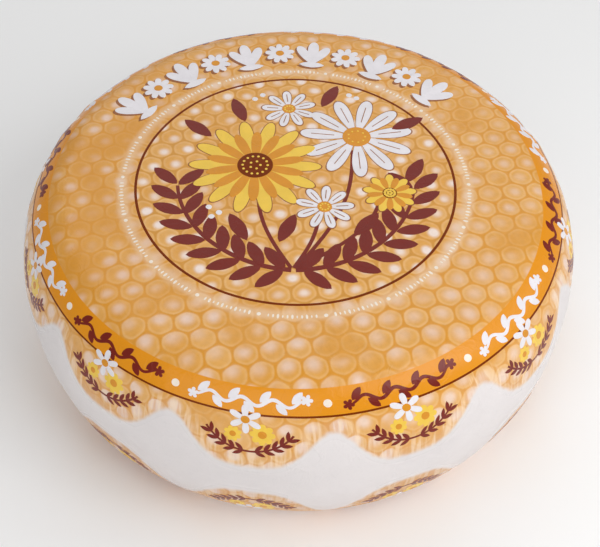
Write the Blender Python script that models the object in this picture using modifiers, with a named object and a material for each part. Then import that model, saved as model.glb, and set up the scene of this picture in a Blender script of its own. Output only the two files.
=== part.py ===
"""A whole wheel of goat gouda of about 4.5 kg.

The wheel is a squat round loaf with softly rounded shoulders in a smooth white coat. A thin printed label
with a scalloped edge is draped over its top and shoulder, and a second one wraps its foot in the same way.
The origin is the centre of the face that the wheel rests on, +Z is up and the front faces -Y.
"""

import math

import bmesh
import bpy
import numpy as np

# The whole wheel with its labels, in metres, and the coated wheel under them.
OVERALL_HEIGHT = 0.092
WHEEL_DIAMETER = 0.2494
WIDEST_HEIGHT = 0.0478
TOP_FLAT_RADIUS = 0.0970
FOOT_FLAT_RADIUS = 0.1005
SHOULDER_POWER = 2.2

# The labels are thin film. The gap keeps their solids clear of the wheel's.
LABEL_GAP = 0.0003
LABEL_THICKNESS = 0.0004
LABEL_STAND = LABEL_GAP + LABEL_THICKNESS

# A label lies flat as a disc whose edge has this many lobes, with a narrow round notch between two.
LOBES = 12
NOTCH_RADIUS = 0.1265
TOP_TIP_RADIUS = 0.1462
FOOT_TIP_RADIUS = 0.1500
LOBE_POWER = 1.7
FIRST_NOTCH_TURN = math.radians(7)

# How finely the round shapes are faceted. The labels' bend rings run from the flat face to the notches.
WHEEL_STEPS = 72
SHOULDER_STEPS = 9
COLUMNS_PER_LOBE = 10
FLAT_RING_RADIUS = 0.0930
BEND_END_RADIUS = NOTCH_RADIUS - 0.003
BEND_RINGS = 5
LOBE_RINGS = 3
OUTLINE_STEPS = 240
MERGE_DISTANCE = 0.00005

# Colours as red, green and blue, with the surface's roughness.
COAT_COLOUR = (0.80, 0.78, 0.77)
COAT_ROUGHNESS = 0.38
LABEL_COLOUR = (0.80, 0.46, 0.13)
LABEL_ROUGHNESS = 0.34

WHEEL_RADIUS = WHEEL_DIAMETER / 2
WHEEL_TOP = OVERALL_HEIGHT - LABEL_STAND
WHEEL_FOOT = LABEL_STAND


def clear_scene():
    """Removes what the scene holds before the model is built."""
    for old in list(bpy.data.objects):
        bpy.data.objects.remove(old)


def material(name, colour, roughness):
    """A plain Principled finish of one colour."""
    finish = bpy.data.materials.new(name)
    finish.use_nodes = True
    shader = finish.node_tree.nodes["Principled BSDF"]
    shader.inputs["Base Color"].default_value = (*colour, 1.0)
    shader.inputs["Roughness"].default_value = roughness
    shader.inputs["Metallic"].default_value = 0.0
    return finish


def half_outline(flat_radius, rise):
    """Half of the wheel's outline, from a face's centre out to the widest ring.

    The flat face runs into a quarter of a superellipse. The result is three arrays: the radius, the rise
    above the widest ring and the arc length from the centre.
    """
    turn = np.linspace(math.pi / 2, 0, OUTLINE_STEPS + 1)
    across = np.clip(np.cos(turn), 0, 1) ** (2 / SHOULDER_POWER)
    up = np.clip(np.sin(turn), 0, 1) ** (2 / SHOULDER_POWER)
    radius = np.concatenate([[0.0], flat_radius + (WHEEL_RADIUS - flat_radius) * across])
    up = np.concatenate([[rise], rise * up])
    arc = np.concatenate([[0.0], np.cumsum(np.hypot(np.diff(radius), np.diff(up)))])
    return radius, up, arc


TOP_HALF = half_outline(TOP_FLAT_RADIUS, WHEEL_TOP - WIDEST_HEIGHT)
FOOT_HALF = half_outline(FOOT_FLAT_RADIUS, WIDEST_HEIGHT - WHEEL_FOOT)


def on_half(half, arc, stand=0.0):
    """The radius and rise at an arc length from the face's centre, moved outwards by a stand-off."""
    radius, up, arcs = half
    slope_out = np.interp(arc, arcs, np.gradient(radius, arcs))
    slope_up = np.interp(arc, arcs, np.gradient(up, arcs))
    size = math.hypot(slope_out, slope_up)
    here = float(np.interp(arc, arcs, radius)) - stand * slope_up / size
    rise = float(np.interp(arc, arcs, up)) + stand * slope_out / size
    return here, rise


def shoulder_points(half, side):
    """Even steps along a shoulder from its face to the widest ring, as (radius, height)."""
    arcs = np.linspace(half[2][1], half[2][-1], SHOULDER_STEPS + 1)
    placed = [on_half(half, arc) for arc in arcs]
    return [(radius, WIDEST_HEIGHT + side * rise) for radius, rise in placed]


def wheel_outline():
    """The wheel's outline from the top's centre to the foot's centre, as (radius, height)."""
    top = shoulder_points(TOP_HALF, 1)
    foot = shoulder_points(FOOT_HALF, -1)
    return [(0.0, WHEEL_TOP), *top, *foot[-2::-1], (0.0, WHEEL_FOOT)]


def link(name, mesh, finish, collection):
    """A named object with its material, in the model's collection and shaded smooth."""
    thing = bpy.data.objects.new(name, mesh)
    collection.objects.link(thing)
    mesh.materials.append(finish)
    mesh.shade_smooth()
    return thing


def make_wheel(finish, collection):
    """The coated cheese itself, its outline turned about the upright axis."""
    mesh = bpy.data.meshes.new("cheese_wheel")
    points = [(radius, 0.0, height) for radius, height in wheel_outline()]
    edges = [(at, at + 1) for at in range(len(points) - 1)]
    mesh.from_pydata(points, edges, [])
    wheel = link("cheese_wheel", mesh, finish, collection)
    turned = wheel.modifiers.new("turned", "SCREW")
    turned.axis = "Z"
    turned.steps = WHEEL_STEPS
    turned.render_steps = WHEEL_STEPS
    turned.use_merge_vertices = True
    turned.merge_threshold = MERGE_DISTANCE
    return wheel


def ring_radii(from_notch, tip_radius):
    """How far each ring of a flat label lies from its centre, at a turn measured from a notch.

    The rings are even up to just inside the notches. The last few share out what is left up to the edge,
    which swings between the notches and the tips of the lobes.
    """
    from_tip = abs(2 * (from_notch * LOBES / (2 * math.pi) % 1) - 1)
    dip = (1 - math.cos(math.pi * from_tip**LOBE_POWER)) / 2
    edge = tip_radius - (tip_radius - NOTCH_RADIUS) * dip
    bend = np.linspace(FLAT_RING_RADIUS, BEND_END_RADIUS, BEND_RINGS + 1)
    lobe = np.linspace(BEND_END_RADIUS, edge, LOBE_RINGS + 1)
    return np.concatenate([bend, lobe[1:]])


def make_label(name, tip_radius, half, side, finish, collection):
    """A scalloped label, laid on the wheel's top (side 1) or foot (side -1) as a sheet and then thickened.

    A point of the flat label keeps its direction, and its distance from the centre becomes arc length.
    """
    sheet = bmesh.new()
    columns = LOBES * COLUMNS_PER_LOBE
    rows = []
    for column in range(columns):
        from_notch = 2 * math.pi * column / columns
        turn = from_notch + FIRST_NOTCH_TURN - math.pi / 2
        row = []
        for arc in ring_radii(from_notch, tip_radius):
            radius, rise = on_half(half, arc, LABEL_GAP)
            place = (radius * math.cos(turn), radius * math.sin(turn), WIDEST_HEIGHT + side * rise)
            row.append(sheet.verts.new(place))
        rows.append(row)
    middle = sheet.verts.new((0.0, 0.0, WIDEST_HEIGHT + side * on_half(half, 0.0, LABEL_GAP)[1]))
    for column, here in enumerate(rows):
        after = rows[(column + 1) % columns]
        sheet.faces.new((middle, here[0], after[0])[::side])
        for ring in range(len(here) - 1):
            corners = (here[ring], here[ring + 1], after[ring + 1], after[ring])
            sheet.faces.new(corners[::side])
    mesh = bpy.data.meshes.new(name)
    sheet.to_mesh(mesh)
    sheet.free()
    label = link(name, mesh, finish, collection)
    thick = label.modifiers.new("film", "SOLIDIFY")
    thick.thickness = LABEL_THICKNESS
    thick.offset = 1.0
    thick.use_even_offset = True
    return label


def main():
    clear_scene()
    collection = bpy.data.collections.new("goat_gouda_wheel")
    bpy.context.scene.collection.children.link(collection)
    coat = material("white_coat", COAT_COLOUR, COAT_ROUGHNESS)
    film = material("printed_label", LABEL_COLOUR, LABEL_ROUGHNESS)
    make_wheel(coat, collection)
    make_label("top_label", TOP_TIP_RADIUS, TOP_HALF, 1, film, collection)
    make_label("foot_label", FOOT_TIP_RADIUS, FOOT_HALF, -1, film, collection)


main()
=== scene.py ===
import math

import bpy
import numpy as np
from bpy.props import FloatProperty, FloatVectorProperty, IntProperty, PointerProperty
from mathutils import Matrix, Vector


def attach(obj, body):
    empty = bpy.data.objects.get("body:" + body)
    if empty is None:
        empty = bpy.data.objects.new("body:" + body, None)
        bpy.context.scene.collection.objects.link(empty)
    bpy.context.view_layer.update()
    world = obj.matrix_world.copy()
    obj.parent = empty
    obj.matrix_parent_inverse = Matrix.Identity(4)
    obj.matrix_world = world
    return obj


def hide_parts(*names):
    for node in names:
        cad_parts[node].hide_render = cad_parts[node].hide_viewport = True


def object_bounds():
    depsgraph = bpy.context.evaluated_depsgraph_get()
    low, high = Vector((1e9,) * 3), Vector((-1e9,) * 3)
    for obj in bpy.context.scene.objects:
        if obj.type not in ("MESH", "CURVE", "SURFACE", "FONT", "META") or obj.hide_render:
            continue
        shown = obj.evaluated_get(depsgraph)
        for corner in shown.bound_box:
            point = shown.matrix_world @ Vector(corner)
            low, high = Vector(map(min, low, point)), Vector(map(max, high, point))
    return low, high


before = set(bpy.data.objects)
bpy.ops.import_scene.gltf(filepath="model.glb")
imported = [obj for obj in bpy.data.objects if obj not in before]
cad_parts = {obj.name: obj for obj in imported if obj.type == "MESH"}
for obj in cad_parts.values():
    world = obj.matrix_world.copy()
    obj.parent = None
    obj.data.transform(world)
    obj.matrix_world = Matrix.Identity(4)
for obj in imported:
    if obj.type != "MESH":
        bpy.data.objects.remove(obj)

bl_info = {
    "name": "Goat gouda wheel",
    "version": (1, 0, 0),
    "blender": (4, 5, 0),
    "location": "3D View > Sidebar > Cheese",
    "description": "A whole goat gouda in a white coat, with honeycomb labels over its top and foot",
    "category": "Add Mesh",
}

CAD_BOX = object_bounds()
WHEEL_RADIUS = float(CAD_BOX[1][0])
WHEEL_HEIGHT = float(CAD_BOX[1][2])


def srgb(red, green, blue):
    """A colour given as a screen shows it, from 0 to 255, as the linear numbers that a shader takes."""
    shown = [value / 255 for value in (red, green, blue)]
    return tuple(value / 12.92 if value <= 0.04045 else ((value + 0.055) / 1.055) ** 2.4 for value in shown)


def metres(name, description, default):
    """A length in metres."""
    return FloatProperty(
        name=name, description=description, default=default, min=0.0, unit="LENGTH", precision=5
    )


def swatch(name, description, *shown):
    """A colour, whose default is given as a screen shows it."""
    return FloatVectorProperty(
        name=name, description=description, default=srgb(*shown), size=3, min=0.0, max=1.0, subtype="COLOR"
    )


class WheelSizes(bpy.types.PropertyGroup):
    """The wheel's outline, and how far the coat and the inks stand from its outer face."""

    radius: metres("Radius", "Half the width of the wheel", WHEEL_RADIUS)
    height: metres("Height", "Height of the wheel", WHEEL_HEIGHT)
    widest: metres("Widest height", "Height of the widest ring above the foot", 0.0478)
    top_flat: metres("Top flat radius", "Where the top starts to bend down", 0.0974)
    foot_flat: metres("Foot flat radius", "Where the foot starts to bend up", 0.1013)
    coat_depth: metres("Coat depth", "How far the coat lies under the labels' outer face", 0.0003)
    ink_height: metres("Ink height", "How far printed shapes stand off a label", 0.00005)
    power: FloatProperty(
        name="Shoulder power", description="2 is an ellipse, and more is squarer", default=2.18, min=1.0
    )


class PrintSizes(bpy.types.PropertyGroup):
    """Radii on a label that lies flat, measured from the print's centre."""

    ring: metres("Ring radius", "The brown ring on the top", 0.0690)
    ring_width: metres("Ring width", "Width of the brown ring", 0.00105)
    bead_ring: metres("Bead radius", "The ring of small white beads", 0.0750)
    band_inner: metres("Band inner radius", "Where the golden band starts", 0.1068)
    band_outer: metres("Band outer radius", "The dark line that ends the golden band", 0.1184)
    line_width: metres("Line width", "Width of the dark line", 0.00085)
    notch: metres("Notch radius", "Where the notches between the lobes end", 0.1265)
    tip: metres("Top lobe radius", "Where the top label's lobes end", 0.1462)
    foot_tip: metres("Foot lobe radius", "Where the foot label's lobes end", 0.1500)
    margin: metres("Margin", "White film past the end of the print", 0.0045)
    pitch: metres("Cell pitch", "Distance between neighbouring cells of the honeycomb", 0.0103)
    lobes: IntProperty(name="Lobes", description="Lobes round a label", default=12, min=3)
    turn: FloatProperty(
        name="First notch", description="Turn of the first notch from the front", default=math.radians(7),
        subtype="ANGLE",
    )


class WheelColours(bpy.types.PropertyGroup):
    """Colours of the coat and of the inks."""

    coat: swatch("Coat", "White coat on the cheese", 223, 217, 217)
    wall: swatch("Cell wall", "Orange walls of the honeycomb", 212, 141, 36)
    cell: swatch("Cell", "Peach faces of the honeycomb's cells", 219, 161, 78)
    pale: swatch("Cell rim", "Pale rim inside a cell's wall", 229, 180, 116)
    glow: swatch("Cell glow", "Soft light spot in a cell", 230, 202, 186)
    inner_wall: swatch("Inner wall", "Cell walls inside the ring", 203, 141, 52)
    inner_glow: swatch("Inner glow", "Light spots inside the ring", 238, 220, 210)
    # Deep amber is also painted over patches on the left side of the top as shade.
    deep: swatch("Deep amber", "Patches where the cells run together", 212, 145, 50)
    band: swatch("Band", "Golden band round the shoulder", 225, 143, 5)
    line: swatch("Line", "Brown ring and line", 117, 46, 0)
    white: swatch("White ink", "Petals and leaves", 228, 224, 228)
    cream: swatch("Cream ink", "Beads and dots", 240, 228, 212)
    maroon: swatch("Maroon ink", "Stems and leaves", 116, 27, 11)
    gold: swatch("Gold ink", "Golden petals", 236, 196, 74)
    amber: swatch("Amber ink", "Hearts of the flowers", 214, 142, 34)
    shade: swatch("Shade ink", "Soft brown shade under white motifs", 150, 92, 48)
    haze: swatch("Haze", "Soft haze under the beads", 236, 214, 190)
    faded: swatch("Faded", "What the lobes' print fades towards", 238, 204, 158)
    streak: swatch("Pale streak", "Pale streaks at the lobes' edges", 246, 222, 190)
    deep_streak: swatch("Deep streak", "Deep streaks at the lobes' edges", 214, 146, 66)


class StageSettings(bpy.types.PropertyGroup):
    """The camera, the lamps and the floor."""

    distance: metres("Camera distance", "From the wheel's foot to the camera", 0.5113)
    elevation: FloatProperty(
        name="Camera elevation", description="Angle of the camera above the floor",
        default=math.radians(51.47), subtype="ANGLE",
    )
    lens: FloatProperty(name="Lens", description="Focal length in millimetres", default=60.82, min=1.0)
    floor: FloatProperty(name="Floor", description="How pale the floor is", default=0.92, min=0.0, max=1.0)


GROUPS = (
    ("wheel_sizes", WheelSizes),
    ("print_sizes", PrintSizes),
    ("wheel_colours", WheelColours),
    ("stage_settings", StageSettings),
)


# Shape of the wheel


def smooth_step(low, high, value):
    """0 up to low, 1 from high on, and a smooth rise between them."""
    share = np.clip((value - low) / (high - low), 0, 1)
    return share * share * (3 - 2 * share)


class Outline:
    """The wheel's outer face as half outlines: radius and rise against the arc length from a face's centre.

    The flat face runs on into a quarter of a superellipse, whose two powers of cosine and sine give the
    radius and the rise above or below the widest ring.
    """

    def __init__(self, sizes):
        self.widest = sizes.widest
        self.halves = {
            1: self.half(sizes.top_flat, sizes.height - sizes.widest, sizes.radius, sizes.power),
            -1: self.half(sizes.foot_flat, sizes.widest, sizes.radius, sizes.power),
        }

    @staticmethod
    def half(flat, rise, radius, power):
        turn = np.linspace(np.pi / 2, 0, 2001)
        across = np.clip(np.cos(turn), 0, 1) ** (2 / power)
        up = rise * np.clip(np.sin(turn), 0, 1) ** (2 / power)
        out = flat + (radius - flat) * across
        out = np.concatenate([np.linspace(0, flat, 200)[:-1], out])
        up = np.concatenate([np.full(199, rise), up])
        arc = np.concatenate([[0.0], np.cumsum(np.hypot(np.diff(out), np.diff(up)))])
        return arc, out, up, np.gradient(out, arc), np.gradient(up, arc)

    def place(self, arc, turn, side, stand):
        """Points at an arc length and a turn, stand outwards from the face, with the face's gentle relief."""
        arcs, out, up, slope_out, slope_up = self.halves[side]
        radius, rise, normal_out, normal_up = (
            np.interp(arc, arcs, values) for values in (out, up, -slope_up, slope_out)
        )
        size = np.maximum(np.hypot(normal_out, normal_up), 1e-9)
        lift = stand + relief(arc, turn, side)
        radius = radius + lift * normal_out / size
        rise = rise + lift * normal_up / size
        across = radius * np.cos(turn)
        away = radius * np.sin(turn)
        return np.stack([across, away, self.widest + side * rise], -1)


def relief(arc, turn, side):
    """How uneven the film lies: a few long waves, and short radial pleats over the shoulder.

    The waves are products of sines of the flat position. A pleat is a narrow bump across the turn times a
    smooth bump along the arc. All are fractions of a millimetre, and the foot's face stays flat.
    """
    across = arc * np.cos(turn)
    away = arc * np.sin(turn)
    waves = (
        np.sin(across * 61 + 1.3) * np.sin(away * 53 + 0.4)
        + 0.6 * np.sin(across * 97 + away * 71 + 2.1)
        + 0.35 * np.sin(across * 173 - away * 149)
    )
    lift = 0.00011 * waves
    for at, width, low, high, height in PLEATS:
        apart = np.angle(np.exp(1j * (turn - math.radians(at)))) / math.radians(width)
        along = smooth_step(low, (low + high) / 2, arc) * (1 - smooth_step((low + high) / 2, high, arc))
        lift = lift + height * np.exp(-(apart**2)) * along
    if side < 0:
        flat = 1 - smooth_step(0.098, 0.125, arc)
        lift = lift * (1 - flat) - FOOT_LET_IN * flat
    return lift


# The foot's face lies this far above the floor, so that its print clears the floor too.
FOOT_LET_IN = 0.0005

# Pleats of the film as turn from +X and width in degrees, arc from and to, and height in metres.
PLEATS = (
    (18.0, 1.6, 0.098, 0.150, 0.00045),
    (23.0, 1.9, 0.100, 0.146, -0.00030),
    (-9.0, 1.5, 0.104, 0.150, 0.00022),
    (152.0, 1.8, 0.096, 0.150, 0.00045),
    (157.0, 1.6, 0.098, 0.148, -0.00035),
    (163.0, 1.5, 0.100, 0.144, 0.00030),
    (178.0, 1.6, 0.106, 0.150, -0.00020),
    (70.0, 1.8, 0.102, 0.148, 0.00030),
    (112.0, 1.6, 0.100, 0.150, 0.00030),
)

# The print lies a little off the wheel's axis on the face, and is pulled back to it over the shoulder.
PRINT_SHIFT = {1: (-0.0018, -0.0023), -1: (0.0, 0.0)}


def drape(outline, flat, side, stand):
    """Lays points of the flat print on the wheel: the distance from the axis becomes arc length."""
    reach = np.hypot(flat[..., 0], flat[..., 1])
    hold = 1 - smooth_step(0.108, 0.132, reach)
    across = flat[..., 0] + PRINT_SHIFT[side][0] * hold
    away = flat[..., 1] + PRINT_SHIFT[side][1] * hold
    return outline.place(np.hypot(across, away), np.arctan2(away, across), side, stand)


def edge_radius(turn, tip, sizes):
    """Where the scalloped print ends at each turn: rounded lobes with a narrow notch between two."""
    step = 2 * np.pi / sizes.lobes
    from_tip = np.abs(2 * (((turn + np.pi / 2 - sizes.turn) / step) % 1) - 1)
    return tip - (tip - sizes.notch) * (1 - np.cos(np.pi * from_tip**LOBE_POWER)) / 2


LOBE_POWER = 1.7


# Meshes from whole arrays


def cap_faces(count, rings, columns, side):
    """Faces of round grids, each a middle vertex with rings of columns about it, as triangles and quads."""
    start = np.arange(count)[:, None] * (1 + rings * columns)
    here = np.arange(columns)
    after = (here + 1) % columns
    fan = np.stack([np.zeros(columns, int), 1 + here, 1 + after], -1)
    base = 1 + np.arange(rings - 1)[:, None] * columns
    quads = np.stack([base + here, base + columns + here, base + columns + after, base + after], -1)
    fan = (start[..., None] + fan[None]).reshape(-1, 3)
    quads = (start[..., None] + quads.reshape(1, -1, 4)).reshape(-1, 4)
    return fan[:, ::side].tolist() + quads[:, ::side].tolist()


def grid_faces(count, rows, columns, side):
    """Faces of open grids with rows along and columns across."""
    start = np.arange(count)[:, None] * (rows * columns)
    at = np.arange(rows - 1)[:, None] * columns + np.arange(columns - 1)
    quads = np.stack([at, at + columns, at + columns + 1, at + 1], -1)
    return (start[..., None] + quads.reshape(1, -1, 4)).reshape(-1, 4)[:, ::side].tolist()


def put_mesh(name, points, faces, material, flat=None):
    """A smooth object at the origin from arrays, with its flat print position kept as two UV maps.

    The map named Flat holds metres, and the one named OFBake fills the unit square.
    """
    mesh = bpy.data.meshes.new(name)
    mesh.from_pydata(points.reshape(-1, 3).tolist(), [], faces)
    mesh.update()
    mesh.shade_smooth()
    if flat is not None:
        corner = np.empty(len(mesh.loops), np.int32)
        mesh.loops.foreach_get("vertex_index", corner)
        spread = flat.reshape(-1, 2)[corner]
        low, high = spread.min(0), spread.max(0)
        unit = 0.01 + 0.98 * (spread - low) / (high - low).max()
        for label, values in (("Flat", spread), ("OFBake", unit)):
            layer = mesh.uv_layers.new(name=label)
            layer.uv.foreach_set("vector", values.astype(np.float32).ravel())
    thing = bpy.data.objects.new(name, mesh)
    bpy.context.scene.collection.objects.link(thing)
    mesh.materials.append(material)
    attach(thing, "root")
    return thing


# Shaders


class Signal:
    """A node's output. Sums, differences, products and quotients of signals make further nodes."""

    def __init__(self, nodes, socket):
        self.nodes = nodes
        self.socket = socket
        self.wide = socket.type in ("VECTOR", "RGBA")

    def __add__(self, other):
        return self.nodes.work("ADD", self, other)

    def __sub__(self, other):
        return self.nodes.work("SUBTRACT", self, other)

    def __rsub__(self, other):
        return self.nodes.work("SUBTRACT", other, self)

    def __mul__(self, other):
        return self.nodes.work("MULTIPLY", self, other)

    def __truediv__(self, other):
        return self.nodes.work("DIVIDE", self, other)

    def parts(self):
        """The three parts of a vector or a colour."""
        node = self.nodes.add("ShaderNodeSeparateXYZ", self)
        return [Signal(self.nodes, socket) for socket in node.outputs]

    def step(self, low, high, start=0.0, end=1.0):
        """A smooth rise from start at low to end at high."""
        named = {"From Min": low, "From Max": high, "To Min": start, "To Max": end}
        return self.nodes.signal("ShaderNodeMapRange", self, named=named, interpolation_type="SMOOTHSTEP")

    def towards(self, other, share):
        """This colour where the share is 0, and the other where it is 1."""
        return self.nodes.mix(share, self, other)


class Nodes:
    """Short calls that add nodes to a tree and join them."""

    def __init__(self, tree):
        self.tree = tree

    def add(self, kind, *values, named=None, **settings):
        """A node with its settings, and its inputs in order or by name: numbers, colours or signals."""
        node = self.tree.nodes.new(kind)
        for key, value in settings.items():
            setattr(node, key, value)
        for place, value in [*enumerate(values), *(named or {}).items()]:
            self.feed(node.inputs[place], value)
        return node

    def signal(self, kind, *values, at=0, **settings):
        """One output of a new node."""
        return Signal(self, self.add(kind, *values, **settings).outputs[at])

    def feed(self, socket, value):
        """Links a signal to a socket, or sets the socket to a constant."""
        if isinstance(value, Signal):
            self.tree.links.new(value.socket, socket)
        elif socket.type == "RGBA":
            socket.default_value = (*value, 1.0)
        elif socket.type == "VECTOR" and isinstance(value, (int, float)):
            socket.default_value = (value, value, value)
        else:
            socket.default_value = value

    def work(self, operation, *values):
        """A maths node, which works on vectors where any of its values has three parts."""
        wide = any(isinstance(value, tuple) or getattr(value, "wide", False) for value in values)
        kind = "ShaderNodeVectorMath" if wide else "ShaderNodeMath"
        at = "Vector" if wide and operation not in ("LENGTH", "DISTANCE", "DOT_PRODUCT") else "Value"
        return self.signal(kind, *values, at=at, operation=operation)

    def mix(self, share, first, second, data="RGBA"):
        """The first colour or vector where the share is 0, and the second where it is 1."""
        node = self.add("ShaderNodeMix", data_type=data, clamp_factor=True)
        start, end = (6, 2) if data == "RGBA" else (4, 1)
        for at, value in ((0, share), (start, first), (start + 1, second)):
            self.feed(node.inputs[at], value)
        return Signal(self, node.outputs[end])

    def noise(self, place, scale, detail=2.0, roughness=0.5, distortion=0.0, at=0):
        """Soft noise over a place, as a number, or as a colour where at is 1."""
        return self.signal("ShaderNodeTexNoise", at=at, named={
            "Vector": place, "Scale": scale, "Detail": detail, "Roughness": roughness,
            "Distortion": distortion,
        })

    def joined(self, x, y, z=0.0):
        """A vector from its parts."""
        return self.signal("ShaderNodeCombineXYZ", x, y, z)

    def group(self, name, **values):
        """Places a node group with its inputs by name, and gives its outputs by name."""
        node = self.add("ShaderNodeGroup", named=values, node_tree=bpy.data.node_groups[name])
        return {socket.name: Signal(self, socket) for socket in node.outputs}


def new_group(name, inputs, outputs):
    """An empty node group, whose sockets' names are given by kind, as its nodes, inputs and outputs."""
    tree = bpy.data.node_groups.new(name, "ShaderNodeTree")
    for way, kinds in (("INPUT", inputs), ("OUTPUT", outputs)):
        for kind, labels in kinds.items():
            for label in labels.split():
                tree.interface.new_socket(label, in_out=way, socket_type="NodeSocket" + kind)
    nodes = Nodes(tree)
    entry = tree.nodes.new("NodeGroupInput").outputs
    given = {socket.name: Signal(nodes, socket) for socket in entry if socket.name}
    return nodes, given, tree.nodes.new("NodeGroupOutput").inputs


# Half of root 3, the sine of 60 degrees.
ROOT = math.sqrt(3) / 2


def make_comb_group():
    """Honeycomb print: cells of two interleaved grids, with walls, pale rims and soft light spots."""
    nodes, given, result = new_group("comb_print", {
        "Vector": "Flat", "Float": "Pitch Tilt Contrast Spots Spread Patches",
        "Color": "Wall Cell Rim Glow Deep",
    }, {"Color": "Color"})
    flat = given["Flat"]
    across, away, _ = flat.parts()
    # Towards the back the rows of cells are drawn a little closer together.
    back = nodes.work("MAXIMUM", away, 0.0)
    drawn = flat + nodes.joined(0.0, back * back * 0.7)
    turned = nodes.signal("ShaderNodeVectorRotate", named={"Vector": drawn, "Angle": given["Tilt"]},
                          rotation_type="Z_AXIS", invert=True)
    wobble = (nodes.noise(flat, 22.0, 1.0, at=1) - 0.5) * (0.0026, 0.0026, 0)
    jitter = (nodes.noise(flat, 130.0, 0.0, at=1) - 0.5) * (0.0011, 0.0011, 0)
    cells = (turned + wobble + jitter) / given["Pitch"]
    # In pitches, one grid has its cells at whole numbers across and at multiples of root 3 away. The other
    # lies half a step on from it both ways.
    high, low = (0.5, ROOT, 0.5), (-0.5, -ROOT, -0.5)
    first = nodes.work("WRAP", cells, high, low) * (1, 1, 0)
    second = nodes.work("WRAP", cells + high, high, low) * (1, 1, 0)
    nearer = nodes.work("LESS_THAN", nodes.work("LENGTH", first), nodes.work("LENGTH", second))
    local = nodes.mix(nearer, second, first, "VECTOR")
    number = nodes.work("FLOOR", (cells - local) * (2, 1 / ROOT, 0) + (0.5, 0.5, 0))
    chance = nodes.signal("ShaderNodeTexWhiteNoise", number, at="Color", noise_dimensions="3D")
    luck = chance.parts()
    wide, tall, _ = nodes.work("ABSOLUTE", local).parts()
    straight = nodes.work("MAXIMUM", wide, wide * 0.5 + tall * ROOT)
    # 0 in a cell's middle and 1 at its wall, rounded at the corners.
    depth = straight * 0.7 + nodes.work("LENGTH", local) * 1.3
    # 0 in the patches where the cells run together.
    clear = (nodes.noise(flat, 36.0).step(0.34, 0.52) - 1.0) * given["Patches"] + 1.0
    wall = depth.step(0.86, 1.0) * (clear * 0.6 + 0.4) * given["Contrast"]
    rim = depth.step(0.62, 0.84) * depth.step(0.95, 0.85)
    # The light spot sits high and left near the front, low and right further back, and fades to the right.
    aim = nodes.mix(away.step(-0.050, -0.080), (0.13, -0.13, 0), (-0.10, 0.20, 0), "VECTOR")
    shift = aim * across.step(0.095, 0.03) + (chance - 0.5) * (0.16, 0.16, 0)
    spot = nodes.work("DISTANCE", local, shift).step(given["Spread"], 0.04)
    spot = spot * (luck[0] * 0.6 + 0.4) * given["Spots"] * clear
    # Each cell is deeper along one side, opposite its light spot.
    lower = nodes.work("DOT_PRODUCT", local, nodes.work("NORMALIZE", aim)).step(0.1, -0.5)
    mottle = nodes.noise(flat, 170.0).step(0.35, 0.65)
    colour = nodes.mix(lower * 0.4, given["Cell"], given["Deep"])
    for ink, share in (
        ("Rim", rim * 0.85), ("Rim", luck[1] * clear * 0.4), ("Deep", luck[2] * 0.35), ("Rim", mottle * 0.22),
        ("Glow", spot), ("Wall", wall), ("Deep", (1.0 - clear) * 0.5),
    ):
        colour = colour.towards(given[ink], share)
    grain = nodes.noise(flat, 420.0).step(0.3, 0.7, 0.97, 1.03)
    nodes.feed(result["Color"], colour * grain)


def make_film_group():
    """How the tight film lies: long dents, short creases and fine texture as a height, and a gloss mask."""
    nodes, given, result = new_group("film_surface", {"Vector": "Place"}, {"Float": "Height Gloss"})
    place = given["Place"]
    creases = nodes.noise(place, 110.0, 3.0, 0.6, 0.6)
    ridge = (1.0 - nodes.work("ABSOLUTE", creases * 2.0 - 1.0)).step(0.86, 1.0)
    fine = nodes.noise(place, 900.0)
    nodes.feed(result["Height"], nodes.noise(place, 48.0, 2.0, 0.45) + ridge * 0.05 + fine * 0.02)
    nodes.feed(result["Gloss"], nodes.noise(place, 30.0, 3.0))


def make_coat_group():
    """White coat: faint grey clouds and fine specks over the given white."""
    nodes, given, result = new_group("coat_white", {"Vector": "Place", "Color": "White"}, {"Color": "Color"})
    clouds = nodes.noise(given["Place"], 22.0, 3.0).step(0.3, 0.7, 0.965, 1.02)
    specks = nodes.noise(given["Place"], 650.0, 1.0).step(0.25, 0.45, 0.985, 1.0)
    level = clouds * specks
    nodes.feed(result["Color"], given["White"] * nodes.joined(level, level, level * 0.992))


# Specular level of most finishes and of the dark line's, which would look grey with more, and the depth in
# metres that the film's bump gives.
SHINE = 0.30
LINE_SHINE = 0.1
BUMP = 0.0009


def finish_material(name, roughness, shine=SHINE):
    """A material with the film's gloss and bump, as its nodes, its base colour's socket and the place."""
    material = bpy.data.materials.new(name)
    material.use_nodes = True
    nodes = Nodes(material.node_tree)
    sockets = material.node_tree.nodes["Principled BSDF"].inputs
    sockets["IOR"].default_value = 1.48
    sockets["Specular IOR Level"].default_value = shine
    place = nodes.signal("ShaderNodeTexCoord", at="Object")
    film = nodes.group("film_surface", Place=place)
    nodes.feed(sockets["Roughness"], film["Gloss"].step(0.3, 0.7, roughness - 0.05, roughness + 0.05))
    bump = {"Strength": 1.0, "Distance": BUMP, "Height": film["Height"]}
    nodes.feed(sockets["Normal"], nodes.signal("ShaderNodeBump", named=bump))
    return nodes, sockets["Base Color"], place


def make_coat(colours):
    """The coat's finish, a little less glossy than the labels."""
    nodes, base, place = finish_material("white_coat", 0.36)
    nodes.feed(base, nodes.group("coat_white", Place=place, White=colours.coat)["Color"])


def make_ink(ink, colours):
    """One printed ink, a little uneven, under the same film as the rest of the label."""
    nodes, base, place = finish_material(ink + "_ink", 0.26, LINE_SHINE if ink == "line" else SHINE)
    cloud = nodes.noise(place, 160.0, 3.0).step(0.3, 0.7, 0.96, 1.03)
    nodes.feed(base, cloud * tuple(getattr(colours, ink)))


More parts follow.
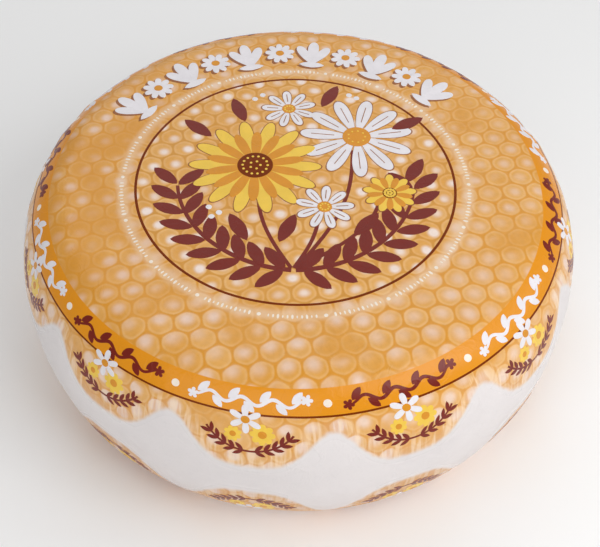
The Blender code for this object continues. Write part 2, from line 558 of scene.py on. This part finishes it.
def lobe_edge(nodes, flat, tip, sizes):
    """The print's scalloped edge as a radius at the shaded point's turn, as edge_radius gives it."""
    across, away, _ = flat.parts()
    step = 2 * math.pi / sizes.lobes
    turn = nodes.work("ARCTAN2", away, across) + (math.pi / 2 - sizes.turn + 2 * math.pi)
    from_tip = nodes.work("ABSOLUTE", nodes.work("FRACT", turn / step) * 2.0 - 1.0)
    swing = nodes.work("COSINE", nodes.work("POWER", from_tip, LOBE_POWER) * math.pi)
    half = (tip - sizes.notch) / 2
    return swing * half + (tip - half)


def make_print(name, tip, pale, tint, sizes, colours):
    """Printed film: honeycomb within a golden band, more of it on the lobes, fading to the white coat.

    pale and tint say how much lighter and browner its lobes are than the rest.
    """
    nodes, base, place = finish_material(name, 0.25)
    flat = nodes.signal("ShaderNodeUVMap", uv_map="Flat")
    across, away, _ = flat.parts()
    reach = nodes.work("LENGTH", flat)

    def comb(**given):
        given.update(Flat=flat, Pitch=sizes.pitch, Tilt=math.radians(8.5))
        given.update(Cell=colours.cell, Rim=colours.pale, Deep=colours.deep)
        return nodes.group("comb_print", **given)["Color"]

    lobes = reach.step(sizes.band_outer, sizes.band_outer + 0.004)
    left = across.step(-0.030, -0.095)
    right = across.step(0.020, 0.080)
    # The comb is softer on the left and at the back, but on the lobes it is as clear as at the front.
    faint = nodes.work("MAXIMUM", left, away.step(-0.060, 0.010))
    faint = faint * reach.step(sizes.band_outer, sizes.band_outer - 0.001)
    outer = comb(Wall=colours.wall, Glow=colours.glow, Contrast=lobes * 0.18 + 0.74, Patches=1.0,
                 Spots=left * 0.40 + right * -0.25 + lobes + 0.92, Spread=faint.step(0.0, 1.0, 0.47, 0.36))
    # On the left its cells run together in darker amber patches: partly the print's patchiness, partly
    # painted shade on the side of the top that faces away from the lamps.
    patches = nodes.noise(flat, 42.0).step(0.38, 0.58, 0.06, 0.74)
    outer = outer.towards(colours.deep, left * faint * patches)
    inner = comb(Wall=colours.inner_wall, Glow=colours.inner_glow, Contrast=0.85, Patches=0.45,
                 Spots=1.6, Spread=0.34)
    colour = inner.towards(outer, (reach - sizes.ring).step(-0.0003, 0.0003))
    # A soft cream haze lies under the beads.
    bead = reach - sizes.bead_ring
    colour = colour.towards(colours.haze, bead.step(-0.0045, -0.001) * bead.step(0.0035, 0.0005) * 0.38)
    band = (reach - sizes.band_inner).step(-0.0002, 0.0002) * (reach - sizes.band_outer).step(0.0002, -0.0002)
    colour = colour.towards(nodes.mix(nodes.noise(flat, 60.0) * 0.25, colours.band, colours.deep), band)
    colour = colour.towards(colours.faded, lobes * pale)
    # The shrunk film draws the lobes' print out into streaks towards its edge.
    past = reach - lobe_edge(nodes, flat, tip, sizes) + (nodes.noise(flat, 300.0) * 0.0016 - 0.0008)
    heading = nodes.work("NORMALIZE", flat) * (60, 60, 0)
    streaks = nodes.noise(heading + nodes.joined(0.0, 0.0, reach * 45.0), 1.0)
    drawn_out = lobes * past.step(-0.016, -0.004)
    colour = colour.towards(colours.streak, drawn_out * streaks.step(0.50, 0.62, 0.0, 0.45))
    colour = colour.towards(colours.deep_streak, drawn_out * streaks.step(0.48, 0.38, 0.0, 0.38))
    colour = colour.towards(colours.shade, lobes * tint)
    white = nodes.group("coat_white", Place=place, White=colours.coat)["Color"]
    colour = colour.towards(white, past.step(-0.009, 0.0, 0.0, 0.12))
    nodes.feed(base, colour.towards(white, past.step(-0.0022, 0.0012)))


def materials(scene):
    """Makes the node groups and every finish once, and returns the finishes by name."""
    if "comb_print" not in bpy.data.node_groups:
        make_comb_group()
        make_film_group()
        make_coat_group()
        sizes, colours = scene.print_sizes, scene.wheel_colours
        make_coat(colours)
        make_print("top_film", sizes.tip, 0.16, 0.0, sizes, colours)
        make_print("foot_film", sizes.foot_tip, 0.1, 0.16, sizes, colours)
        for ink in ("line", "white", "cream", "maroon", "gold", "amber", "shade"):
            make_ink(ink, colours)
    return bpy.data.materials


# Printed shapes


def polar(reach, turn):
    """Flat points at a radius and a turn from +X."""
    return np.stack([reach * np.cos(turn), reach * np.sin(turn)], -1)


def turns_of(count, start=0.0):
    """Turns spaced evenly round a circle."""
    return start + 2 * np.pi * np.arange(count) / count


def oval(long, wide, power=2.0, columns=28):
    """A superellipse about the origin: 2 is an ellipse, less is pointed and more is squarer."""
    turn = turns_of(columns)
    reach = (np.abs(np.cos(turn) / long) ** power + np.abs(np.sin(turn) / wide) ** power) ** (-1 / power)
    return polar(reach, turn)


def petal(long, wide, columns=28):
    """A drop along +X from the origin: an ellipse whose width swells towards its far end."""
    turn = turns_of(columns)
    along = np.cos(turn)
    return np.stack([long / 2 * (1 + along), wide / 2 * np.sin(turn) * (0.72 + 0.28 * along)], -1)


def flower(radius, petals, cut, columns_each=6):
    """A rosette whose radius swings between petal tips and cuts, with rounded petals."""
    turn = turns_of(petals * columns_each)
    swing = np.abs(np.cos(petals * turn / 2)) ** 0.7
    return polar(radius * (cut + (1 - cut) * swing), turn)


def spread(shape, spots, turns=0.0, scales=1.0):
    """Copies of a closed outline at spots, each turned and scaled, as (copies, columns, 2)."""
    spots = np.atleast_2d(spots)
    turns = np.broadcast_to(turns, len(spots))[:, None]
    scales = np.broadcast_to(scales, len(spots))[:, None]
    cos, sin = np.cos(turns) * scales, np.sin(turns) * scales
    x = shape[None, :, 0] * cos - shape[None, :, 1] * sin + spots[:, None, 0]
    y = shape[None, :, 0] * sin + shape[None, :, 1] * cos + spots[:, None, 1]
    return np.stack([x, y], -1)


def dots(radius, spots, columns=18):
    """Round dots at spots."""
    return spread(oval(radius, radius, 2.0, columns), spots)


def ring_of(shape, centre, count, start, inner):
    """Copies of a shape about a centre, each pointing away from it at a distance."""
    turns = turns_of(count, start)
    return spread(shape, centre + polar(inner, turns), turns)


def lobe_middles(sizes):
    """Turn of each lobe's middle from +X."""
    step = 2 * np.pi / sizes.lobes
    return sizes.turn - np.pi / 2 + step * (np.arange(sizes.lobes) + 0.5)


SIDES = (("top", 1), ("foot", -1))
# Ink of each printed piece that isn't named after its ink.
INKS = {
    "lines": "line", "beads": "cream",
    "garland": "white", "garland_hearts": "amber", "garland_shade": "shade",
}
# Width of a printed shape's rim, how deep the rim ends under the label's face, and the widest step between
# two rings of a shape.
RIM = 0.00012
LET_IN = 0.00008
RING_STEP = 0.0016


class Press:
    """Prints thin shapes on one side of the wheel, and keeps them by piece until they are put down."""

    def __init__(self, scene, name, side):
        self.scene = scene
        self.name = name
        self.side = side
        self.outline = Outline(scene.wheel_sizes)
        self.pieces = {}

    def keep(self, piece, flat, level, faces):
        """Lays flat points on the wheel at levels in ink heights, of which -1 ends a rim under the film."""
        stand = np.where(level < 0, -LET_IN, level * self.scene.wheel_sizes.ink_height)
        points = drape(self.outline, flat, self.side, stand)
        self.pieces.setdefault(piece, []).append((points, faces, flat))

    def plates(self, piece, level, *shapes):
        """Thin shapes from sets of closed outlines, each set half a level above the one before.

        Rings shrink an outline onto its middle, and past it a narrow rim slopes down into the label, so that
        no edge hangs over it. Neighbours differ a little in level where they overlap.
        """
        for at, outlines in enumerate(shapes):
            middle = outlines.mean(1, keepdims=True)
            reach = np.abs(outlines - middle).max()
            rings = max(2, int(math.ceil(reach / RING_STEP)))
            rim = RIM / reach
            share = np.concatenate([np.linspace(0, 1, rings + 1)[1:-1], [1 - rim, 1.0, 1 + rim]])
            flat = middle[:, None] + (outlines - middle)[:, None] * share[:, None, None]
            count, rings, columns, _ = flat.shape
            number = np.arange(count)
            top = (level + at / 2 + 0.4 * (number % 2) + 0.2 * (number == count - 1))[:, None]
            levels = np.repeat(top, rings * columns, 1)
            levels[:, -columns:] = -1
            flat = np.concatenate([middle, flat.reshape(count, -1, 2)], 1)
            faces = cap_faces(count, rings, columns, self.side)
            self.keep(piece, flat, np.concatenate([top, levels], 1), faces)

    def stroke(self, piece, level, paths, widths):
        """Thin strokes: a flat profile carried along each path, whose rims slope down into the label."""
        along = np.gradient(paths, axis=1)
        along = along / np.maximum(np.linalg.norm(along, axis=-1, keepdims=True), 1e-12)
        across = np.stack([-along[..., 1], along[..., 0]], -1)
        half = np.broadcast_to(widths, paths.shape[:2])[..., None] / 2 * np.array([1, 1, 1, 0, -1, -1, -1])
        half = half + RIM * np.array([1, 0, -1, 0, 1, 0, -1])
        flat = paths[:, :, None] + across[:, :, None] * half[..., None]
        levels = np.array([-1, level, level, level, level, level, -1])
        self.keep(piece, flat, levels, grid_faces(len(paths), paths.shape[1], len(levels), self.side))

    def put(self):
        """Joins the shapes of each piece into one object."""
        for piece, made in self.pieces.items():
            points = [part.reshape(-1, 3) for part, _, _ in made]
            flats = [flat.reshape(-1, 2) for _, _, flat in made]
            starts = np.cumsum([0] + [len(part) for part in points]).tolist()
            faces = []
            for (_, part, _), start in zip(made, starts):
                faces += [[at + start for at in face] for face in part]
            ink = materials(self.scene)[INKS.get(piece, piece) + "_ink"]
            put = put_mesh(self.name + piece, np.concatenate(points), faces, ink, np.concatenate(flats))


def presses(scene, motif=""):
    """A press for the top and one for the foot, each of which puts a motif's pieces down after its turn."""
    for name, side in SIDES:
        press = Press(scene, name + "_" + motif, side)
        yield press
        press.put()


# Operators


def turn_columns():
    """Turns shared by the coat and the labels, so that both bend over a pleat at the same places."""
    return turns_of(720)


class MakeCoat(bpy.types.Operator):
    """Makes the white coated wheel, a closed surface turned about the upright axis"""

    bl_idname = "cheese.make_coat"
    bl_label = "Coat"

    def execute(self, context):
        """The surface is the outline turned: (arc, turn) goes to the point at that arc length and turn."""
        sizes = context.scene.wheel_sizes
        outline = Outline(sizes)
        turn = turn_columns()
        rows = []
        for side in (1, -1):
            arcs = outline.halves[side][0]
            flat = sizes.top_flat if side > 0 else sizes.foot_flat
            arc = np.concatenate([np.linspace(0.02, flat, 6)[:-1], np.linspace(flat, arcs[-1], 36)])
            depth = sizes.coat_depth * (1 - 0.9 * smooth_step(0.116, 0.127, arc))
            place = outline.place(arc[:, None], turn[None], side, -depth[:, None])
            rows.append(place if side > 0 else place[-2::-1])
        body = np.concatenate(rows)
        rings, columns = body.shape[:2]
        ends = np.array([[0, 0, body[0, 0, 2]], [0, 0, body[-1, 0, 2]]])
        points = np.concatenate([ends[:1], body.reshape(-1, 3), ends[1:]])
        faces = cap_faces(1, rings, columns, 1)
        last = 1 + (rings - 1) * columns
        here = np.arange(columns)
        foot = np.stack([np.full(columns, len(points) - 1), last + (here + 1) % columns, last + here], -1)
        coat = put_mesh("wheel_coat", points, faces + foot.tolist(), materials(context.scene)["white_coat"])
        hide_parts("cheese_wheel")
        return {"FINISHED"}


# Radii of a label's rings: its first, where the shoulder starts, and where they start to follow the lobes.
LABEL_RINGS = (0.008, 0.092, 0.124)
# How deep a label's rim dips into the coat.
LABEL_DIP = 0.00009


class MakeLabels(bpy.types.Operator):
    """Makes the two printed labels, laid over the wheel from flat scalloped discs"""

    bl_idname = "cheese.make_labels"
    bl_label = "Labels"

    def execute(self, context):
        """A flat disc (reach, turn) runs out to the lobes' edge and a margin, whose rim dips in the coat."""
        sizes = context.scene.print_sizes
        outline = Outline(context.scene.wheel_sizes)
        turn = turn_columns()
        columns = len(turn)
        first, shoulder, last = LABEL_RINGS
        for (side_name, side), tip in zip(SIDES, (sizes.tip, sizes.foot_tip)):
            edge = edge_radius(turn, tip, sizes) + sizes.margin
            inner = np.concatenate([np.linspace(first, shoulder, 12), np.linspace(shoulder, last, 17)[1:]])
            outer = last + (edge[None] - last) * np.linspace(0, 1, 16)[1:, None]
            reach = np.concatenate([np.repeat(inner[:, None], columns, 1), outer])
            flat = np.concatenate([np.zeros((1, 2)), polar(reach, turn[None]).reshape(-1, 2)])
            stand = -LABEL_DIP * smooth_step(-0.0020, 0.0, reach - edge[None])
            points = drape(outline, flat, side, np.concatenate([[0.0], stand.ravel()]))
            faces = cap_faces(1, len(reach), columns, side)
            film = materials(context.scene)[side_name + "_film"]
            label = put_mesh(side_name + "_print", points, faces, film, flat)
            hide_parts(side_name + "_label")
        return {"FINISHED"}


# Beads in their ring, and after how many of them a round one and a gap come.
BEADS = 252
BEAD_RUN = 14
# Radius of the band's dots and vines, and half a vine's length as a turn.
BAND_MIDDLE = 0.1128
VINE_HALF = math.radians(10.8)


class MakeLines(bpy.types.Operator):
    """Prints the brown ring, the dark line that ends the golden band, the beads and the band's dots"""

    bl_idname = "cheese.make_lines"
    bl_label = "Ring, line and beads"

    def execute(self, context):
        """A ring is a stroke along a circle. Beads are small ovals spaced evenly round another circle."""
        sizes = context.scene.print_sizes
        circle = np.linspace(0, 2 * np.pi, 361)
        number = np.arange(BEADS)
        turn = turns_of(BEADS)
        keep = (number % BEAD_RUN > 1) & (number % BEAD_RUN < BEAD_RUN - 1)
        tall = np.choose(number % 3, [1.0, 0.62, 0.8])[keep]
        spots = polar(sizes.bead_ring, turn)
        for press in presses(context.scene):
            for reach, width in ((sizes.ring, sizes.ring_width), (sizes.band_outer, sizes.line_width)):
                press.stroke("lines", 1, polar(reach, circle)[None], width)
            press.plates("beads", 1, spread(oval(0.00115, 0.00046, 2.4, 10), spots[keep], turn[keep], tall))
            press.plates("beads", 1, dots(0.0008, spots[::BEAD_RUN], 12))
            gaps = lobe_middles(sizes) + np.pi / sizes.lobes
            press.plates("beads", 1, dots(0.0016, polar(BAND_MIDDLE, gaps), 24))
        return {"FINISHED"}


class MakeBandVines(bpy.types.Operator):
    """Prints a small vine with leaves in each stretch of the band, white and maroon by turns"""

    bl_idname = "cheese.make_band_vines"
    bl_label = "Band vines"

    def execute(self, context):
        """A vine is a sine wave round the band. A leaf is a pointed oval at each of its crests."""
        share = np.linspace(-1, 1, 61)
        wave = 0.0015 * np.sin(share * np.pi * 3.5)
        crest = np.arange(-6, 7, 2) / 7
        for press in presses(context.scene, "band_"):
            for ink, first in (("maroon", 0), ("white", 1)):
                middles = lobe_middles(context.scene.print_sizes)[first::2, None]
                path = polar(BAND_MIDDLE + wave[None], middles + VINE_HALF * share[None])
                press.stroke(ink, 1, path, 0.0014 * (1 - 0.5 * share**4))
                turn = (middles + VINE_HALF * crest[None]).ravel()
                lift = np.tile([-1, 1, -1, 1, -1, 1, -1], len(middles))
                spots = polar(BAND_MIDDLE + 0.0024 * lift, turn)
                press.plates(ink, 1.2, spread(oval(0.0030, 0.0015, 1.55, 18), spots, turn + lift * 0.72))
                buds = polar(BAND_MIDDLE + wave[[0, -1]], middles + np.radians([-11.1, 11.1]))
                press.plates(ink, 1.2, spread(flower(0.0023, 5, 0.5), buds.reshape(-1, 2)))
        return {"FINISHED"}


# A lobe's sprig is an arc of this radius about a spot this far from the print's centre.
SPRIG_REACH = 0.0200
SPRIG_MIDDLE = 0.1168
# Turns of the sprig's pairs of leaves, and a lobe's white and golden flowers, as how far across to its right
# and out from the print's centre they lie. A golden one's turn and scale follow.
SPRIG_LEAVES = np.radians([-57, -46, -35, -24, -13, 13, 24, 35, 46, 57])
LOBE_WHITE = (0.0015, 0.1212)
LOBE_GOLD = ((-0.0052, 0.1278, 0.0, 1.0), (0.0068, 0.1288, 0.3, 0.72))


class MakeLobeFlowers(bpy.types.Operator):
    """Prints a white flower, a golden one and a sprig of maroon leaves on each lobe"""

    bl_idname = "cheese.make_lobe_flowers"
    bl_label = "Lobe flowers"

    def execute(self, context):
        """Each part is a rosette or a pointed oval, placed in a frame that turns with the lobe."""
        sizes = context.scene.print_sizes
        middles = lobe_middles(sizes)
        leaves = []
        for turn in SPRIG_LEAVES:
            for lift in (-1, 1):
                far = SPRIG_REACH + 0.0016 * lift
                lean = math.copysign(1, turn) * (0.6 * lift - math.pi / 2) - turn
                leaves.append((far * math.sin(turn), SPRIG_MIDDLE + far * math.cos(turn), lean, 1.0))
        sweep = np.radians(np.linspace(-62, 62, 41))
        for press in presses(context.scene, "lobe_"):
            # The foot label's lobes are longer, and so its sprigs lie further out.
            shift = 0.0 if press.side > 0 else 1.3 * (sizes.foot_tip - sizes.tip)

            def many(level, ink, shape, spots):
                """Copies of a shape on every lobe, at spots as across, out, turn and scale."""
                made = []
                for across, out, turn, scale in spots:
                    places = polar(np.hypot(out + shift, across), middles - math.atan2(across, out + shift))
                    made.append(spread(shape, places, middles + turn, scale))
                press.plates(ink, level, np.concatenate(made))

            across, out = SPRIG_REACH * np.sin(sweep), SPRIG_MIDDLE + shift + SPRIG_REACH * np.cos(sweep)
            stems = polar(np.hypot(across, out)[None], middles[:, None] - np.arctan2(across, out)[None])
            press.stroke("maroon", 1, stems, 0.0009)
            many(1.2, "maroon", oval(0.0025, 0.0009, 1.5, 16), leaves)
            many(1.5, "gold", flower(0.0052, 8, 0.72), LOBE_GOLD)
            many(2.0, "white", petal(0.0068, 0.0036, 18), [(*LOBE_WHITE, turn, 1.0) for turn in turns_of(6)])
            hearts = [(*LOBE_WHITE, 0.0, 1.0), (*LOBE_GOLD[0][:2], 0.0, 1.0), (*LOBE_GOLD[1][:2], 0.0, 0.75)]
            many(3.0, "amber", oval(0.0018, 0.0018, 2, 14), hearts)
        return {"FINISHED"}


# Radii on which the garland's tulips stand and its daisies lie.
TULIP_REACH = 0.0815
DAISY_REACH = 0.0892


class MakeGarland(bpy.types.Operator):
    """Prints an arc of white tulips and leaves with a brown shade behind them along the back of the top"""

    bl_idname = "cheese.make_garland"
    bl_label = "Garland"

    def execute(self, context):
        """Petals and pointed ovals stand on a circle, and their shades are the same shapes moved aside."""
        turns = np.radians(96 + np.linspace(-52, 52, 11))
        tulips, daisies = turns[::2], turns[1::2]
        feet, hearts = polar(TULIP_REACH, tulips), polar(DAISY_REACH, daisies)
        leaf = petal(0.0150, 0.0062)
        shapes = [
            spread(petal(0.0170, 0.0070), feet, tulips),
            spread(leaf, feet, tulips - 0.52),
            spread(leaf, feet, tulips + 0.52),
            spread(oval(0.0060, 0.0020, 1.6, 22), polar(TULIP_REACH - 0.0009, tulips), tulips + np.pi / 2),
            spread(petal(0.0072, 0.0040, 18), np.repeat(hearts, 9, 0), turns_of(9, daisies[:, None]).ravel()),
        ]
        for press in presses(context.scene):
            press.plates("garland_hearts", 7.5, dots(0.0020, hearts))
            press.plates("garland_shade", 1, *[shape + np.array([-0.0009, -0.0011]) for shape in shapes])
            press.plates("garland", 4, *shapes)
        return {"FINISHED"}


# The bouquet's flowers as ink, centre, radius, number of petals and first petal's turn.
BLOOMS = (
    ("gold", (-0.0180, 0.0090), 0.0290, 14, 0.0),
    ("white", (0.0270, 0.0290), 0.0255, 11, 0.2),
    ("white", (0.0125, -0.0155), 0.0125, 9, 0.1),
    ("white", (-0.0040, 0.0475), 0.0125, 9, 0.3),
    ("gold", (0.0405, -0.0065), 0.0115, 9, 0.15),
)
WREATH_REACH = 0.0510
# Stems as flower, foot and bow, and side leaves as place and turn in degrees.
STEMS = (
    ((-0.0150, 0.0060), (-0.0010, -0.0500), -0.0060),
    ((0.0250, 0.0200), (0.0010, -0.0500), 0.0070),
    ((0.0105, -0.0180), (0.0000, -0.0500), 0.0022),
    ((0.0370, -0.0050), (0.0015, -0.0500), 0.0090),
)
SIDE_LEAVES = (
    ((-0.0235, -0.0280), 118), ((-0.0030, -0.0280), 68), ((0.0300, -0.0250), 52), ((0.0520, 0.0080), 62),
    ((-0.0450, 0.0330), 140), ((-0.0270, 0.0460), 112), ((0.0150, 0.0570), 64), ((0.0505, 0.0390), 30),
)
BUDS = (
    (-0.0365, -0.0170), (-0.0320, -0.0200), (-0.0350, -0.0225),
    (0.0240, 0.0580), (0.0275, 0.0560), (-0.0200, 0.0540), (-0.0165, 0.0570),
)


def print_bloom(press, ink, centre, radius, count, start):
    """A ring of petals over a wider brown one. A golden flower has inner petals and seeds in its heart, and a
    white one has veins and an amber heart with specks."""
    centre = np.asarray(centre)
    wide = 3.7 * radius / count
    foot = 0.14 * radius
    long = radius - foot
    rims, petals = petal(long + 0.0006, wide + 0.0009), petal(long, wide)
    for piece, level, shape in (("shade", 1.2, rims), (ink, 2.6, petals)):
        press.plates(piece, level, ring_of(shape, centre, count, start, foot))
    if ink == "gold":
        inner = ring_of(petal(0.68 * radius, 0.8 * wide), centre, count, start + math.pi / count, 0.002)
        press.plates("amber", 4.0, inner)
        seeds = np.concatenate([polar(0.19 * radius, turns_of(14)), polar(0.08 * radius, turns_of(5))])
        press.plates("gold", 6.5, dots(0.0006, seeds + centre, 10))
    else:
        along = foot + long * np.linspace(0.30, 0.78, 8)
        veins = centre + polar(along[None], turns_of(count, start)[:, None])
        press.stroke("shade", 4.2, veins, 0.00032)
        press.plates("amber", 4.5, dots(0.25 * radius, centre, 36))
        press.plates("gold", 6.0, dots(0.00045, polar(0.15 * radius, turns_of(9)) + centre, 10))


def stem(top, foot, bend):
    """A path from a flower to its foot that bows sideways as half a sine."""
    share = np.linspace(0, 1, 60)[:, None]
    side = np.stack([bend * np.sin(np.pi * share[:, 0]), np.zeros(60)], -1)
    return np.asarray(top) * (1 - share) + np.asarray(foot) * share + side


class MakeBouquet(bpy.types.Operator):
    """Prints meadow flowers with a wreath of maroon leaves inside the brown ring"""

    bl_idname = "cheese.make_bouquet"
    bl_label = "Bouquet"

    def execute(self, context):
        """Flowers are rings of petals about a heart. The wreath is two arcs with pointed leaves on them."""
        hands = np.array([[-1], [1]])
        sweep = np.linspace(0, 1, 80)
        bend = 0.0008 * np.sin(sweep * np.pi)
        arms = polar(WREATH_REACH - bend, np.radians(-90 + hands * (1 + 84 * sweep)))
        turns = np.radians(-90 + hands * (7 + 10.2 * np.arange(9)))
        spots, leans = [], []
        for lift in (-1, 1):
            spots.append(polar(WREATH_REACH + 0.0056 * lift, turns + hands * 0.05).reshape(-1, 2))
            leans.append((turns + hands * (np.pi / 2 - 0.82 * lift)).ravel())
        wreath = spread(oval(0.0072, 0.0029, 1.6), np.concatenate(spots), np.concatenate(leans))
        places, degrees = zip(*SIDE_LEAVES)
        leaves = spread(oval(0.0085, 0.0032, 1.5, 30), places, np.radians(degrees))
        for press in presses(context.scene, "bouquet_"):
            press.stroke("maroon", 1, arms, 0.0024 - 0.0010 * sweep)
            press.stroke("maroon", 1.2, np.stack([stem(*ends) for ends in STEMS]), 0.0016)
            press.plates("maroon", 1.6, wreath, leaves)
            for bloom in BLOOMS:
                print_bloom(press, *bloom)
            press.plates("white", 2.0, dots(0.0013, BUDS))
            for ink, centre, radius, *_ in BLOOMS:
                if ink == "gold":
                    press.plates("line", 5.5, dots(0.27 * radius, centre, 40))
        return {"FINISHED"}


class MakeStage(bpy.types.Operator):
    """Lays the pale floor, hangs the lamps and sets the camera"""

    bl_idname = "cheese.make_stage"
    bl_label = "Stage"

    def execute(self, context):
        scene = context.scene
        settings = scene.stage_settings
        mesh = bpy.data.meshes.new("floor")
        corners = [(-FLOOR, -FLOOR, 0), (FLOOR, -FLOOR, 0), (FLOOR, FLOOR, 0), (-FLOOR, FLOOR, 0)]
        mesh.from_pydata(corners, [], [(0, 1, 2, 3)])
        floor = bpy.data.objects.new("floor", mesh)
        scene.collection.objects.link(floor)
        paint = bpy.data.materials.new("pale_floor")
        paint.use_nodes = True
        sockets = paint.node_tree.nodes["Principled BSDF"].inputs
        sockets["Base Color"].default_value = (settings.floor, settings.floor, settings.floor, 1.0)
        sockets["Roughness"].default_value = 0.9
        sockets["Specular IOR Level"].default_value = 0.1
        mesh.materials.append(paint)
        world = bpy.data.worlds.new("studio")
        world.use_nodes = True
        sky = world.node_tree.nodes["Background"].inputs
        sky["Color"].default_value = (1.0, 1.0, 1.0, 1.0)
        sky["Strength"].default_value = SKY
        scene.world = world
        for name, turn, rise, far, size, power in LAMPS:
            self.lamp(scene, name, math.radians(turn), math.radians(rise), far, size, power)
        scene.view_settings.view_transform = "Standard"
        self.camera(scene, settings)
        return {"FINISHED"}

    @staticmethod
    def lamp(scene, name, turn, rise, far, size, power):
        """A square soft lamp that faces the wheel from a turn, an angle above the floor and a distance."""
        light = bpy.data.lights.new(name, "AREA")
        light.shape = "SQUARE"
        light.size = size
        light.energy = power
        lamp = bpy.data.objects.new(name, light)
        level = far * math.cos(rise)
        lamp.location = (level * math.cos(turn), level * math.sin(turn), far * math.sin(rise))
        lamp.rotation_euler = (Vector((0, 0, 0.05)) - lamp.location).to_track_quat("-Z", "Y").to_euler()
        scene.collection.objects.link(lamp)

    @staticmethod
    def camera(scene, settings):
        """The photograph's camera: it looks at the wheel's foot and is then turned a little off it."""
        data = bpy.data.cameras.new("camera")
        data.lens = settings.lens
        data.sensor_width = 36.0
        data.sensor_fit = "HORIZONTAL"
        data.clip_start = 0.01
        camera = bpy.data.objects.new("camera", data)
        place = Vector((0, -math.cos(settings.elevation), math.sin(settings.elevation))) * settings.distance
        right = Vector((1, 0, 0))
        back = place.normalized()
        look = Matrix((right, back.cross(right), back))
        for axis, turn in CAMERA_TURNS:
            look = Matrix.Rotation(math.radians(turn), 3, axis) @ look
        camera.matrix_world = Matrix.Translation(place) @ look.transposed().to_4x4()
        scene.collection.objects.link(camera)
        scene.camera = camera


# Half the floor's width, the sky's strength, and the turns in degrees that aim the camera off the foot.
FLOOR = 3.0
SKY = 0.40
CAMERA_TURNS = (("Y", 0.1146), ("X", -1.9996), ("Z", -1.198))
# Lamps as name, turn from +X and angle above the floor in degrees, distance and size in metres, and watts.
LAMPS = (
    ("key", -42, 47, 0.75, 0.4, 1.7),
    ("right", -8, 33, 0.9, 0.6, 1.35),
    ("fill", -108, 32, 1.0, 0.8, 2.75),
    ("back", 92, 45, 1.1, 1.2, 3.4),
)


OPERATORS = (
    MakeCoat, MakeLabels, MakeLines, MakeBandVines, MakeLobeFlowers, MakeGarland, MakeBouquet, MakeStage,
)


class CheesePanel(bpy.types.Panel):
    """Lists the pieces of the cheese and the sizes and colours they are made from"""

    bl_idname = "VIEW3D_PT_cheese"
    bl_label = "Goat gouda wheel"
    bl_space_type = "VIEW_3D"
    bl_region_type = "UI"
    bl_category = "Cheese"

    def draw(self, context):
        for operator in OPERATORS:
            self.layout.operator(operator.bl_idname)
        for name, kind in GROUPS:
            box = self.layout.box()
            for key in kind.__annotations__:
                box.prop(getattr(context.scene, name), key)


def register():
    for name, kind in GROUPS:
        bpy.utils.register_class(kind)
        setattr(bpy.types.Scene, name, PointerProperty(type=kind))
    for kind in (*OPERATORS, CheesePanel):
        bpy.utils.register_class(kind)


def unregister():
    for kind in (CheesePanel, *reversed(OPERATORS)):
        bpy.utils.unregister_class(kind)
    for name, kind in reversed(GROUPS):
        delattr(bpy.types.Scene, name)
        bpy.utils.unregister_class(kind)


def main():
    register()
    for operator in OPERATORS:
        group, call = operator.bl_idname.split(".")
        getattr(getattr(bpy.ops, group), call)()


if __name__ == "__main__":
    main()
